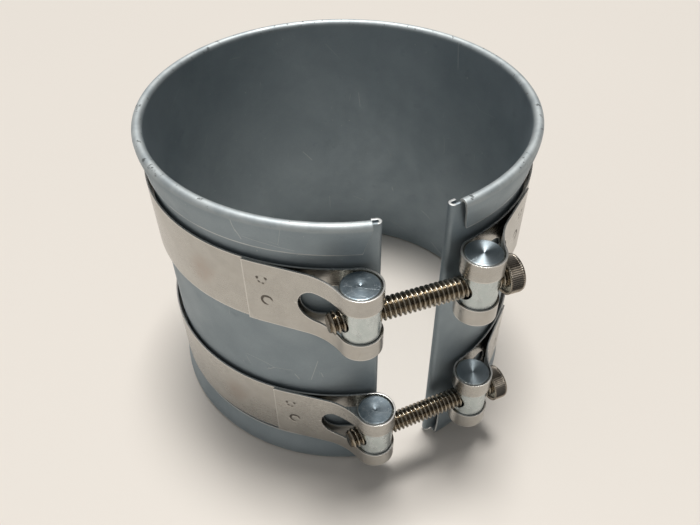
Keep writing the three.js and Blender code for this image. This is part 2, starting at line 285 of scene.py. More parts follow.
def right_hand_sides(points):
    """The unit normal to the right of a line at each of its points."""
    last = len(points) - 1
    sides = []
    for j in range(len(points)):
        along = (points[min(j + 1, last)] - points[max(j - 1, 0)]).normalized()
        sides.append(Vector((along.y, -along.x)))
    return sides


# ------------------------------------------------------------------------ meshes


def sheet_mesh(middle, side, flat, present, half):
    """A bent sheet on a grid of columns and rows, as a bmesh in millimetres.

    middle is the surface halfway through the sheet, and side its unit normal. flat is what the attribute
    `flat` holds: the place along the flat blank from behind the ring, the place across it, and the distance
    to its nearest cut edge. present says which cells exist, and half is half the sheet's thickness.
    """
    columns, rows = len(middle), len(middle[0])
    mesh = bmesh.new()
    layer = mesh.verts.layers.float_vector.new("flat")
    corners = {}
    for face in (1, -1):
        for i in range(columns):
            for j in range(rows):
                corner = mesh.verts.new(middle[i][j] + side[i][j] * half * face)
                corner[layer] = Vector(flat[i][j]) * MM
                corners[face, i, j] = corner

    def here(i, j):
        return 0 <= i < columns - 1 and 0 <= j < rows - 1 and present(i, j)

    def cut_face(a, b):
        mesh.faces.new((corners[1, *a], corners[-1, *a], corners[-1, *b], corners[1, *b]))

    for i in range(columns - 1):
        for j in range(rows - 1):
            if not here(i, j):
                continue
            cell = [(i, j), (i + 1, j), (i + 1, j + 1), (i, j + 1)]
            mesh.faces.new([corners[1, *c] for c in cell])
            mesh.faces.new([corners[-1, *c] for c in reversed(cell)])
            neighbours = ((i, j - 1), (i + 1, j), (i, j + 1), (i - 1, j))
            for (a, b), beyond in zip(zip(cell, cell[1:] + cell[:1]), neighbours):
                behind_ring = beyond[0] == columns - 1
                if not here(*beyond) and not behind_ring:
                    cut_face(a, b)
    loose = [v for v in mesh.verts if not v.link_faces]
    bmesh.ops.delete(mesh, geom=loose, context="VERTS")
    bmesh.ops.remove_doubles(mesh, verts=mesh.verts, dist=MERGED)
    bmesh.ops.recalc_face_normals(mesh, faces=mesh.faces)
    round_edges(mesh)
    close_cut(mesh)
    return mesh


def round_edges(mesh):
    sharp = [e for e in mesh.edges if len(e.link_faces) == 2 and e.calc_face_angle() > ROUNDED_ANGLE]
    bmesh.ops.bevel(
        mesh, geom=sharp, offset=EDGE_ROUNDING, segments=2, profile=0.5, affect="EDGES", clamp_overlap=True
    )


def close_cut(mesh):
    """Closes the open end where a sheet is split in two behind the ring."""
    open_edges = [e for e in mesh.edges if len(e.link_faces) == 1]
    if open_edges:
        bmesh.ops.edgeloop_fill(mesh, edges=open_edges)


def mesh_object(name, mesh, place=Matrix.Identity(4)):
    """Turns a bmesh in millimetres into an object in metres, with its place left in the object."""
    mesh.transform(Matrix.Scale(MM, 4))
    data = bpy.data.meshes.new(name)
    mesh.to_mesh(data)
    mesh.free()
    for polygon in data.polygons:
        polygon.use_smooth = True
    data.set_sharp_from_angle(angle=SHARP_ANGLE)
    piece = bpy.data.objects.new(name, data)
    piece.matrix_world = place
    bpy.context.scene.collection.objects.link(piece)
    return piece


def placed(x, y, z, turn=0):
    """A place in the part's frame for something built about the ring's axis, turned about that axis."""
    return (
        Matrix.Translation(Vector((0, RING_Y, 0)) * MM)
        @ Matrix.Rotation(turn, 4, "Z")
        @ Matrix.Translation(Vector((x, y, z)) * MM)
    )


def mirror(mesh):
    """Turns a right half into a left half, whose place along the flat blank is then below zero."""
    mesh.transform(Matrix.Scale(-1, 4, Vector((1, 0, 0))))
    bmesh.ops.reverse_faces(mesh, faces=mesh.faces)
    layer = mesh.verts.layers.float_vector["flat"]
    for vert in mesh.verts:
        vert[layer].x *= -1
    return mesh


# ------------------------------------------------------------------------ sleeve


def hem_profile():
    """The upper hem's section as (radius, height): the rim, and the layer that comes down from it."""
    rim = [
        (WALL_RADIUS + RIM_BEND * (1 - math.cos(a)), BEND_LEVEL + RIM_BEND * math.sin(a))
        for a in spaced(0, math.pi, RIM_STEP)
    ]
    free = HEIGHT - HEM_DEPTH
    pressed = WALL_RADIUS + SHEET + HEM_END_GAP
    layer = []
    for z in spaced(BEND_LEVEL, free + SUPPORT, LAYER_STEP)[1:] + [free]:
        share = (BEND_LEVEL - z) / (BEND_LEVEL - free)
        ease = share * share * (3 - 2 * share)
        layer.append((rim[-1][0] + (pressed - rim[-1][0]) * ease, z))
    return rim, layer


def sleeve_profile():
    """The sleeve's section from hem to hem, and which of its points begin and end the wall."""
    rim, layer = hem_profile()
    wall = [(WALL_RADIUS, z) for z in spaced(HEIGHT - BEND_LEVEL, BEND_LEVEL, WALL_STEP)]
    upper = rim[1:] + layer
    lower = [(r, HEIGHT - z) for r, z in reversed(upper)]
    return [Vector(p) for p in lower + wall + upper], len(lower), len(lower) + len(wall) - 1


def sleeve_path():
    """The wall's plan line from its folded edge to behind the ring, its stops and the ring's angles."""
    fold_radius = WALL_RADIUS - FOLD_BEND
    start = math.degrees(math.asin((GAP_HALF_WIDTH + FOLD_BEND + SHEET / 2) / fold_radius))
    depth = math.degrees(FOLD_DEPTH / fold_radius)
    out = math.radians(start - 90)
    inner = bend(ORIGIN, WALL_RADIUS - 2 * FOLD_BEND, math.radians(start + depth - 90), out)
    hairpin = bend(around(start, fold_radius), FOLD_BEND, out + math.pi, out + 2 * math.pi)
    ring = bend(ORIGIN, WALL_RADIUS, out, math.pi / 2)
    _, at = joined([inner, hairpin, ring])
    before_ring = inner[0] + hairpin[0]
    fold_stops = merged(
        [0, SUPPORT],
        spaced(SUPPORT, inner[0], FOLD_STEP),
        spaced(inner[0], before_ring, hairpin[0] / HAIRPIN_STEPS),
    )
    step = math.degrees(SUPPORT / WALL_RADIUS)
    angles = [HEM_END_AT_RIM, HEM_END_AT_RIM + step]
    angles += spaced(EVEN_FROM_ANGLE, 180 - step, ANGLE_STEP) + [180]
    ring_stops = [before_ring + math.radians(a - start) * WALL_RADIUS for a in angles]
    return at, fold_stops, ring_stops, angles


def hem_lean(height, upper):
    """How many degrees the slanted end of the upper or lower hem lies back from its rim."""
    from_rim = max(0, BEND_LEVEL - height if upper else height - (HEIGHT - BEND_LEVEL))
    return (HEM_END_AT_EDGE - HEM_END_AT_RIM) * from_rim / (HEM_DEPTH - HEIGHT + BEND_LEVEL)


def sleeve_half():
    """The sleeve on the +X side, from the fold at the gap to the cut behind the ring."""
    profile, first_wall, last_wall = sleeve_profile()
    lengths, sides = distances_along(profile), right_hand_sides(profile)
    at, fold_stops, ring_stops, angles = sleeve_path()
    stops, first_hem = fold_stops + ring_stops, len(fold_stops)

    def wall_point(i, j):
        """The middle, the side and the distance to a cut edge, on the wall."""
        place, out = at(stops[i])
        level = profile[min(max(j, first_wall), last_wall)].y
        at_edge = i < first_hem and j in (first_wall, last_wall)
        return place.to_3d() + Vector((0, 0, level)), out.to_3d(), 0 if at_edge else FAR

    def hem_point(i, j):
        """The same on a hem."""
        r, z = profile[j]
        lean = hem_lean(z, j > last_wall) if i < first_hem + 2 else 0
        out = around(angles[i - first_hem] + lean, 1)
        side = Vector((out.x * sides[j].x, out.y * sides[j].x, sides[j].y))
        cut = min(lengths[j], lengths[-1] - lengths[j], FAR if i > first_hem else 0)
        return Vector((out.x * r, out.y * r, z)), side, cut

    middle, side, flat = [], [], []
    for i, stop in enumerate(stops):
        column = []
        for j in range(len(profile)):
            on_wall = i < first_hem or first_wall <= j <= last_wall
            column.append(wall_point(i, j) if on_wall else hem_point(i, j))
        middle.append([point[0] for point in column])
        side.append([point[1] for point in column])
        from_back, half_width = stops[-1] - stop, lengths[-1] / 2
        flat.append([(from_back, lengths[j] - half_width, point[2]) for j, point in enumerate(column)])

    def present(i, j):
        return first_wall <= j < last_wall or i >= first_hem

    return sheet_mesh(middle, side, flat, present, SHEET / 2)


# ------------------------------------------------------------------------ bands


def band_path():
    """A band's middle line on the +X side, from the end of its lap round the loop to behind the ring."""
    leave = around(LAP_START_ANGLE, LAP_RADIUS)
    outward = leave.normalized()
    along = Vector((outward.y, -outward.x))
    to_trunnion = TRUNNION_PLAN - leave
    rise = LEG_BEND_RADIUS - to_trunnion.dot(outward)
    run = math.sqrt((LOOP_RADIUS + LEG_BEND_RADIUS) ** 2 - rise**2)
    bend_centre = leave + along * (to_trunnion.dot(along) - run) + outward * LEG_BEND_RADIUS
    bend_from, bend_to = bearing(-outward), bearing(TRUNNION_PLAN - bend_centre) % math.tau
    inmost = bearing(TRUNNION_PLAN)
    lap = bend(ORIGIN, LAP_RADIUS, math.radians(LAP_END_ANGLE - 90), math.radians(LAP_START_ANGLE - 90))
    leg = straight(leave, bend_centre - outward * LEG_BEND_RADIUS)
    flare = bend(bend_centre, LEG_BEND_RADIUS, bend_from, bend_to)
    loop = bend(TRUNNION_PLAN, LOOP_RADIUS, bend_to - math.pi, inmost - math.pi)
    ring = bend(ORIGIN, BAND_RADIUS, inmost, math.pi / 2)
    return lap, leg, flare, loop, ring


def bell(distance, width):
    return math.exp(-((distance / width) ** 2))


def weld_dent(along, across):
    """How deep the electrodes pressed the lap at a place from the middle of the weld.

    The lower mark is a ring that is open on one side, and the upper one a faint ring with pits round it.
    """
    scar = Vector((along, across)) - SCAR_PLACE
    to_open_side = math.cos(bearing(scar) + SCAR_TURN) if scar.length else 0
    kept = min(1, max(SCAR_LEAST, SCAR_OPENING - to_open_side))
    depth = SCAR_DEPTH * kept * bell(scar.length - SCAR_RADIUS, SCAR_WIDTH)
    ring = Vector((along, across)) - FAINT_RING_PLACE
    depth += FAINT_RING_DEPTH * bell(ring.length - FAINT_RING_RADIUS, FAINT_RING_WIDTH)
    for x, y, deep in PITS:
        depth += deep * bell((ring - Vector((x, y))).length, PIT_WIDTH)
    return depth


def press_welds(mesh, total, weld_stop):
    """Refines the lap's outer face at the weld and presses the electrodes' marks into it."""
    layer = mesh.verts.layers.float_vector["flat"]
    mark = mesh.verts.layers.float.new("mark")

    def offset(vert):
        place = vert[layer] / MM
        return total - place.x - weld_stop, place.y

    def near(vert):
        along, across = offset(vert)
        return abs(along) < WELD_REACH and WELD_LOWEST < across < WELD_HIGHEST

    middle, out = joined(band_path())[1](weld_stop)
    mesh.normal_update()
    faces = [f for f in mesh.faces if all(map(near, f.verts)) and f.normal.dot(-out.to_3d()) > FACING]
    edges = {e for f in faces for e in f.edges}
    bmesh.ops.subdivide_edges(mesh, edges=list(edges), cuts=WELD_CUTS, use_grid_fill=True)
    for vert in mesh.verts:
        outside = (vert.co.to_2d() - middle).dot(-out) > 0
        if near(vert) and outside:
            depth = weld_dent(*offset(vert))
            vert.co += out.to_3d() * depth
            vert[mark] = min(1, depth / DARK_DEPTH)


def band_stops(slot_start, slot_end, total):
    """The stops along a band, close together round the ends of its slot."""
    radius = SLOT_WIDTH / 2
    ends = [radius * (1 - math.cos(a)) for a in spaced(0, math.pi / 2, SLOT_END_STEP)]
    return merged(
        [0, SUPPORT],
        spaced(SUPPORT, slot_start - 2 * SUPPORT, LAP_STEP),
        [slot_start + e for e in ends],
        spaced(slot_start + radius, slot_end - radius, SLOT_STEP),
        [slot_end - e for e in reversed(ends)],
        spaced(slot_end + 2 * SUPPORT, total - SUPPORT, BAND_STEP),
        [total],
    )


def slot_edge(stop, slot_start, slot_end):
    """Half the slot's width at a place along the band."""
    radius = SLOT_WIDTH / 2
    past_end = max(slot_start + radius - stop, stop - slot_end + radius, 0)
    return math.sqrt(max(radius**2 - past_end**2, 0))


def band_half():
    """A band on the +X side about its middle height, with the slot for the screw through its loop."""
    lap, leg, flare, loop, ring = band_path()
    total, at = joined([lap, leg, flare, loop, ring])
    top = BAND_WIDTH / 2
    past_loop = math.radians(SLOT_END_ANGLE) - math.atan2(TRUNNION_PLAN.x, -TRUNNION_PLAN.y)
    slot_start, slot_end = lap[0] + SLOT_START, total - ring[0] + past_loop * BAND_RADIUS
    stops = band_stops(slot_start, slot_end, total)
    middle, side, flat = [], [], []
    for stop in stops:
        place, out = at(stop)
        edge = slot_edge(stop, slot_start, slot_end)
        near_edge = SUPPORT / (top - edge)
        shares = [0, near_edge, *ROWS_BETWEEN, 1 - near_edge, 1]
        upper = [edge + (top - edge) * share for share in shares]
        heights = [-h for h in reversed(upper)] + upper
        middle.append([Vector((place.x, place.y, h)) for h in heights])
        side.append([out.to_3d()] * len(heights))
        in_slot = slot_start - SLOT_MARGIN < stop < slot_end + SLOT_MARGIN
        cut = [min(stop, top - abs(h), abs(h) - edge if in_slot else FAR) for h in heights]
        flat.append([(total - stop, h, c) for h, c in zip(heights, cut)])
    inmost_row = len(shares) - 1

    def present(i, j):
        return j != inmost_row or not (slot_start - TINY < stops[i] < slot_end - TINY)

    mesh = sheet_mesh(middle, side, flat, present, STRAP / 2)
    press_welds(mesh, total, math.radians(LAP_END_ANGLE - WELD_ANGLE) * LAP_RADIUS)
    return mesh


# ------------------------------------------------------------------------ turned pieces


def turned_mesh(rings, segments):
    """A closed solid about Z. Each ring is a radius, which may be a function of the angle, and a height."""
    mesh = bmesh.new()
    loops = []
    for radius, height in rings:
        loop = []
        for i in range(segments):
            a = math.tau * i / segments
            r = radius(a) if callable(radius) else radius
            loop.append(mesh.verts.new((r * math.cos(a), r * math.sin(a), height)))
        loops.append(loop)
    for lower, upper in zip(loops, loops[1:]):
        for i in range(segments):
            k = (i + 1) % segments
            mesh.faces.new((lower[i], lower[k], upper[k], upper[i]))
    mesh.faces.new(reversed(loops[0]))
    mesh.faces.new(loops[-1])
    bmesh.ops.recalc_face_normals(mesh, faces=mesh.faces)
    return mesh


def trunnion(name, hole_radius, place):
    """A turned rod with chamfered ends, a centre dimple in each and a cross hole for the screw."""
    r, end = TRUNNION_RADIUS, TRUNNION_END
    half = [(radius, end - depth) for radius, depth in DIMPLE] + [(r / 2, end)]
    half += [(r - inset, end - depth) for inset, depth in CHAMFER]
    rings = [(radius, -height) for radius, height in half]
    rings += [(r, h) for h in spaced(-SHAFT_REACH, SHAFT_REACH, SHAFT_STEP)]
    rings += list(reversed(half))
    rod = mesh_object(name, turned_mesh(rings, TRUNNION_SEGMENTS), place)
    hole = [(hole_radius, -2 * r), (hole_radius, 2 * r)]
    across = place @ Matrix.Rotation(math.pi / 2, 4, "Y")
    drill = mesh_object(name + "_drill", turned_mesh(hole, HOLE_SEGMENTS), across)
    return combined(rod, drill, "DIFFERENCE")


def thread_mesh():
    """The threaded shank about Z, from its tip at 0 up to just inside the head."""
    depth = SCREW_RADIUS - SCREW_ROOT_RADIUS
    segments = THREAD_SEGMENTS
    length = SHANK_LENGTH + HEAD_OVERLAP
    turns = math.ceil(length / THREAD_PITCH) + TURNS_BELOW_TIP + 1
    mesh = bmesh.new()
    columns = []
    for k in range(turns * segments + 1):
        a = math.tau * k / segments
        column = []
        for share, full in THREAD_SHAPE:
            height = THREAD_PITCH * (k / segments + share - TURNS_BELOW_TIP)
            chamfer = SCREW_ROOT_RADIUS - TIP_CHAMFER + max(height, 0)
            radius = min(SCREW_ROOT_RADIUS + depth * full, chamfer)
            column.append(mesh.verts.new((radius * math.cos(a), radius * math.sin(a), height)))
        columns.append(column)
    for a, b in zip(columns, columns[1:]):
        for j in range(len(THREAD_SHAPE) - 1):
            mesh.faces.new((a[j], b[j], b[j + 1], a[j + 1]))
    bmesh.ops.remove_doubles(mesh, verts=mesh.verts, dist=MERGED)
    for end, outward in ((0, -1), (length, 1)):
        parts = mesh.verts[:] + mesh.edges[:] + mesh.faces[:]
        place, facing = (0, 0, end), (0, 0, outward)
        bmesh.ops.bisect_plane(
            mesh, geom=parts, dist=ON_PLANE, plane_co=place, plane_no=facing, clear_outer=True
        )
        rim = [e for e in mesh.edges if len(e.link_faces) == 1 and abs(e.verts[0].co.z - end) < TINY]
        bmesh.ops.edgeloop_fill(mesh, edges=rim)
    bmesh.ops.recalc_face_normals(mesh, faces=mesh.faces)
    return mesh


def head_mesh():
    """A knurled cap screw's head about Z, standing on the shank's end, with its hexagon socket."""

    def knurl(a):
        return HEAD_RADIUS - KNURL_DEPTH * (0.5 + 0.5 * math.cos(KNURLS * a)) ** KNURL_POWER

    def hexagon(a):
        return SOCKET_WIDTH / 2 / math.cos(a % (math.pi / 3) - math.pi / 6)

    top, bottom = HEAD_HEIGHT, HEAD_HEIGHT - SOCKET_DEPTH
    mouth = SOCKET_WIDTH / 2 / math.cos(math.pi / 6) + SOCKET_CHAMFER
    rings = [(SCREW_RADIUS, 0)]
    rings += [(HEAD_RADIUS - inset, height) for inset, height in HEAD_FOOT]
    rings += [(knurl, height) for height in KNURL_STARTS]
    rings += [(knurl, top - depth) for depth in KNURL_ENDS]
    rings += [(HEAD_RADIUS - inset, top - depth) for inset, depth in HEAD_CROWN]
    rings += [
        (mouth + SOCKET_LIP, top),
        (mouth, top - 0.02),
        (hexagon, top - SOCKET_LIP),
        (hexagon, bottom),
        (lambda a: 0.92 * hexagon(a), bottom - 0.05),
        (0.05, bottom - DRILL_DEPTH),
    ]
    return turned_mesh(rings, KNURLS * KNURL_SEGMENTS)


def screw(name, place):
    """A cap screw about its axis, its thread and its head joined into one solid."""
    shank = mesh_object(name, thread_mesh(), place)
    head = head_mesh()
    head.transform(Matrix.Translation((0, 0, SHANK_LENGTH)))
    return combined(shank, mesh_object(name + "_head", head, place), "UNION")


def combined(piece, tool, operation):
    """The piece joined with, or cut by, a tool that is then thrown away."""
    step = piece.modifiers.new("combined", "BOOLEAN")
    step.object = tool
    step.operation = operation
    step.solver = "EXACT"
    bpy.context.view_layer.update()
    shape = bpy.data.meshes.new_from_object(piece.evaluated_get(bpy.context.evaluated_depsgraph_get()))
    piece.modifiers.clear()
    piece.data = shape
    piece.data.set_sharp_from_angle(angle=SHARP_ANGLE)
    bpy.data.objects.remove(tool)
    return piece


# ------------------------------------------------------------------------ materials


class Look:
    """A material being put together: its shader, and short ways to make the nodes that feed it."""

    def __init__(self, name, **settings):
        self.material = bpy.data.materials.new(name)
        self.material.use_nodes = True
        self.tree = self.material.node_tree
        self.shader = self.tree.nodes["Principled BSDF"]
        for socket, value in settings.items():
            self.shader.inputs[socket.replace("_", " ")].default_value = value

    def node(self, kind, inputs, **settings):
        node = self.tree.nodes.new("ShaderNode" + kind)
        for key, value in settings.items():
            setattr(node, key, value)
        for socket, value in inputs.items():
            if isinstance(value, bpy.types.NodeSocket):
                self.tree.links.new(value, node.inputs[socket])
            else:
                node.inputs[socket].default_value = value
        return node

    def feed(self, socket, value):
        self.tree.links.new(value, self.shader.inputs[socket])

    def attribute(self, name, output="Vector"):
        return self.node("Attribute", {}, attribute_name=name).outputs[output]

    def math(self, operation, a, b=0.0):
        return self.node("Math", {0: a, 1: b}, operation=operation).outputs[0]

    def split(self, vector):
        return self.node("SeparateXYZ", {0: vector}).outputs

    def from_axis(self, place):
        """The distance from the Z axis."""
        x, y, _ = self.split(place)
        return self.math("SQRT", self.math("ADD", self.math("MULTIPLY", x, x), self.math("MULTIPLY", y, y)))

    def scaled(self, vector, scale):
        return self.node("VectorMath", {0: vector, 1: scale}, operation="MULTIPLY").outputs[0]

    def noise(self, place, scale, detail=3, roughness=0.5, distortion=0):
        inputs = {"Vector": place, "Scale": scale, "Detail": detail, "Roughness": roughness}
        inputs["Distortion"] = distortion
        return self.node("TexNoise", inputs).outputs[0]

    def lines(self, value, scale):
        """Noise that changes with one value only."""
        inputs = {"W": value, "Scale": scale, "Detail": 3}
        return self.node("TexNoise", inputs, noise_dimensions="1D").outputs[0]

    def between(self, value, low, high, bottom=0, top=1):
        """Where the value rises from low to high, a smooth rise from bottom to top."""
        inputs = {0: value, 1: low, 2: high, 3: bottom, 4: top}
        return self.node("MapRange", inputs, interpolation_type="SMOOTHSTEP").outputs[0]

    def mixed(self, share, a, b):
        return self.node("Mix", {0: share, 6: a, 7: b}, data_type="RGBA").outputs[2]

    def product(self, *values):
        result = values[0]
        for value in values[1:]:
            result = self.math("MULTIPLY", result, value)
        return result

    def most(self, *values):
        result = values[0]
        for value in values[1:]:
            result = self.math("MAXIMUM", result, value)
        return result

    def scratches(self, place, scale, width, kept):
        """Thin broken lines: the edges of large cells, kept only where a cloud is above a level."""
        bent = self.node("TexNoise", {"Vector": place, "Scale": scale * 0.7, "Detail": 1}).outputs[1]
        inputs = {0: bent, 1: (0.5 / scale,) * 3, 2: place}
        moved = self.node("VectorMath", inputs, operation="MULTIPLY_ADD").outputs[0]
        cells = self.node("TexVoronoi", {"Vector": moved, "Scale": scale}, feature="DISTANCE_TO_EDGE")
        line = self.between(cells.outputs["Distance"], width * scale, 0)
        cloud = self.noise(place, scale * 2.3, 1)
        return self.math("MULTIPLY", line, self.between(cloud, kept, kept + 0.05))

    def stroke(self, place, start, end, width):
        """A straight mark between two places on a flat blank, in millimetres."""
        start, run = Vector((*start, 0)) * MM, (Vector((*end, 0)) - Vector((*start, 0))) * MM
        along = self.node("VectorMath", {0: place, 1: start}, operation="SUBTRACT").outputs[0]
        inputs = {0: along, 1: run / run.length_squared}
        share = self.node("VectorMath", inputs, operation="DOT_PRODUCT").outputs[1]
        share = self.node("Clamp", {0: share}).outputs[0]
        nearest = self.node("VectorMath", {0: run, "Scale": share}, operation="SCALE").outputs[0]
        distance = self.node("VectorMath", {0: along, 1: nearest}, operation="DISTANCE").outputs[1]
        return self.between(distance, width * MM, 0)

    def bump(self, height, distance, strength=1.0, under=None):
        inputs = {"Height": height, "Distance": distance, "Strength": strength}
        if under:
            inputs["Normal"] = under
        return self.node("Bump", inputs).outputs[0]


def colour(r, g, b):
    return (r, g, b, 1)


def on_sleeve(angle, across):
    """The place on the sleeve's flat blank, in millimetres, of an angle round the ring."""
    return math.copysign(math.radians(180 - abs(angle)) * WALL_RADIUS, angle), across


def on_band(angle, across):
    """The same for a band's flat blank."""
    return math.copysign(math.radians(180 - abs(angle)) * BAND_RADIUS, angle), across


# Scratches, and the brown tint of the welding: two ends on the flat blank and a half width, in millimetres
SCRATCHES = (
    (on_sleeve(-44.9, 40.6), on_sleeve(-44.4, 43.6), 0.16),
    (on_sleeve(-44.4, 43), on_sleeve(-43.5, 45.6), 0.2),
    (on_sleeve(-43, 44.6), on_sleeve(-30, 46.2), 0.1),
    (on_sleeve(-26.3, -1.5), on_sleeve(-28.6, -8.4), 0.14),
    (on_sleeve(-33.4, -7.2), on_sleeve(-32.2, -8.8), 0.18),
    (on_sleeve(-25.6, -5.6), on_sleeve(-25, -7), 0.14),
    (on_sleeve(176.2, -3.4), on_sleeve(172.6, -7), 0.2),
)
HEAT_TINT = (on_band(-58, 0.5), on_band(-60, -1.5), 4.5)


def coated_sheet():
    """Blue-grey coated sheet: satin, cloudy, scratched, bare at its cut edges, and lighter in patches on
    its rims, a painted highlight as well as rubbed coat.
    """
    look = Look("coated_sheet", Metallic=0.75)
    place = look.attribute("flat")
    sheared = look.scaled(place, (1, 1, 0))
    _, across, cut = look.split(place)
    clouds = look.noise(sheared, 55, 4, 0.6)
    stains = look.noise(sheared, 210, 3, 0.6)
    grain = look.noise(sheared, 2600, 2)
    dark, light = colour(0.275, 0.328, 0.362), colour(0.33, 0.385, 0.42)
    base = look.mixed(look.between(clouds, 0.3, 0.7), dark, light)
    base = look.mixed(look.between(stains, 0.6, 0.8, 0, 0.35), base, colour(0.2, 0.245, 0.27))
    from_rim = look.math("ABSOLUTE", look.math("SUBTRACT", look.math("ABSOLUTE", across), RIM_CROWN * MM))
    rim = look.between(from_rim, 0.0019, 0.0004)
    # Painted highlight: the rims are lightened in patches to stand in for their bright highlight, partly
    # also rubbed coat.
    rim_highlight_and_rub = look.product(rim, look.between(stains, 0.3, 0.6, 0.45, 0.8))
    base = look.mixed(rim_highlight_and_rub, base, colour(0.66, 0.7, 0.7))
    chips = look.product(rim, look.between(look.noise(sheared, 520, 3, 0.7), 0.6, 0.66))
    base = look.mixed(look.math("MULTIPLY", chips, 0.75), base, colour(0.07, 0.075, 0.075))
    fine = look.scratches(sheared, 46, 0.00006, 0.6)
    long = look.scratches(sheared, 19, 0.00009, 0.66)
    specks = look.between(look.noise(sheared, 900, 2), 0.735, 0.77)
    worn = look.most(fine, long, specks, *(look.stroke(sheared, *mark) for mark in SCRATCHES))
    base = look.mixed(look.math("MULTIPLY", worn, 0.65), base, colour(0.56, 0.59, 0.6))
    bare = look.between(look.math("ADD", cut, look.math("MULTIPLY", stains, 0.0004)), 0.00055, 0.0003)
    base = look.mixed(look.math("MULTIPLY", bare, 0.75), base, colour(0.68, 0.68, 0.66))
    look.feed("Base Color", base)
    rough = look.between(look.noise(sheared, 120, 4), 0.3, 0.7, 0.52, 0.6)
    rough = look.math("ADD", rough, look.between(grain, 0.3, 0.7, -0.03, 0.04))
    look.feed("Roughness", look.math("SUBTRACT", rough, look.math("MULTIPLY", bare, 0.12)))
    ripples = look.bump(look.noise(sheared, 38, 2), 0.0006, 0.3)
    dents = look.math("ADD", look.product(worn, 2.0), look.product(chips, 3.0))
    look.feed("Normal", look.bump(look.math("SUBTRACT", grain, dents), 0.000014, 0.7, ripples))
    return look.material


def strap_steel():
    """Rolled strip: bright and warm, faintly streaked lengthwise, smudged brown, with dark weld marks."""
    look = Look("strap_steel", Metallic=1.0, Anisotropic=0.2)
    place = look.attribute("flat")
    sheared = look.scaled(place, (1, 1, 0))
    along = look.scaled(place, (1, 9, 0))
    _, _, cut = look.split(place)
    streaks = look.noise(along, 60, 4, 0.55)
    fine = look.noise(along, 500, 3, 0.6)
    smudge = look.noise(sheared, 75, 4, 0.6)
    mottle = look.noise(sheared, 260, 3, 0.6)
    base = look.mixed(look.between(mottle, 0.3, 0.7), colour(0.44, 0.427, 0.4), colour(0.485, 0.472, 0.442))
    base = look.mixed(look.between(streaks, 0.5, 0.75, 0, 0.35), base, colour(0.46, 0.435, 0.395))
    base = look.mixed(look.between(smudge, 0.56, 0.78, 0, 0.34), base, colour(0.4, 0.345, 0.28))
    tint = look.product(look.stroke(sheared, *HEAT_TINT), look.between(mottle, 0.35, 0.6, 0.25, 0.6))
    base = look.mixed(tint, base, colour(0.36, 0.27, 0.22))
    scratch = look.most(look.scratches(sheared, 60, 0.00004, 0.6), look.between(mottle, 0.74, 0.78))
    base = look.mixed(look.math("MULTIPLY", scratch, 0.3), base, colour(0.28, 0.26, 0.23))
    bare = look.between(cut, 0.00035, 0.0001)
    base = look.mixed(look.math("MULTIPLY", bare, 0.6), base, colour(0.75, 0.74, 0.71))
    mark = look.attribute("mark", "Fac")
    base = look.mixed(look.between(mark, 0.1, 0.75, 0, 0.9), base, colour(0.07, 0.06, 0.05))
    look.feed("Base Color", base)
    rough = look.between(smudge, 0.35, 0.7, 0.26, 0.32)
    look.feed("Roughness", look.math("ADD", rough, look.between(fine, 0.3, 0.7, -0.02, 0.03)))
    ripples = look.bump(look.noise(sheared, 110, 2), 0.0002, 0.3)
    look.feed("Normal", look.bump(fine, 0.000005, 0.3, ripples))
    return look.material


def turned_steel(name, grain, wear):
    """Bright turned rod: tool rings on its ends, whose darker, bluer tone is a painted reflection, fine
    lines round its side, and handling marks.

    grain is how strongly the tool's lines stretch a highlight. wear is how much of the rod the marks cover.
    """
    look = Look(name, Metallic=1.0, Anisotropic=grain, Anisotropic_Rotation=0.25)
    spot = look.node("TexCoord", {})
    place, facing = spot.outputs["Object"], spot.outputs["Normal"]
    radius, z = look.from_axis(place), look.split(place)[2]
    end = look.between(look.math("ABSOLUTE", look.split(facing)[2]), 0.85, 0.95)
    rings = look.lines(radius, 5200)
    lines = look.lines(z, 2600)
    clouds = look.noise(place, 260, 4, 0.6)
    smears = look.noise(look.scaled(place, (1, 1, 0.35)), 620, 4, 0.65)
    side = look.mixed(look.between(clouds, 0.3, 0.7), colour(0.51, 0.565, 0.56), colour(0.63, 0.675, 0.67))
    side = look.mixed(look.between(smears, 0.5, 0.7, 0, 0.5), side, colour(0.36, 0.39, 0.39))
    # Painted reflection: the ends get a darker, bluer tone than the side, standing in for the dark
    # blue-grey surroundings they mirror; the tool rings vary it.
    face = look.mixed(look.between(rings, 0.3, 0.7), colour(0.3, 0.35, 0.38), colour(0.42, 0.48, 0.51))
    handled = look.product(wear, look.between(smears, 0.4, 0.65, 0.6, 0.95))
    face = look.mixed(handled, face, colour(0.14, 0.18, 0.21))
    base = look.mixed(end, side, face)
    scratch = look.most(
        look.scratches(place, 170, 0.00003, 0.64 - 0.2 * wear),
        look.scratches(place, 420, 0.00003, 0.66 - 0.16 * wear),
        look.between(smears, 0.74 - 0.1 * wear, 0.78 - 0.1 * wear),
    )
    base = look.mixed(look.math("MULTIPLY", scratch, 0.5), base, colour(0.7, 0.73, 0.75))
    look.feed("Base Color", base)
    side_rough = look.between(clouds, 0.3, 0.75, 0.22, 0.32)
    end_rough = look.between(rings, 0.3, 0.7, 0.34, 0.42)
    look.feed("Roughness", look.node("Mix", {0: end, 2: side_rough, 3: end_rough}).outputs[0])
    tangent = look.node("Tangent", {}, direction_type="RADIAL", axis="Z")
    look.feed("Tangent", tangent.outputs[0])
    around_side = look.product(look.math("SUBTRACT", 1.0, end), lines, 0.4)
    tooling = look.math("ADD", look.product(end, rings), around_side)
    look.feed("Normal", look.bump(look.math("SUBTRACT", tooling, scratch), 0.000012, 0.5))
    return look.material


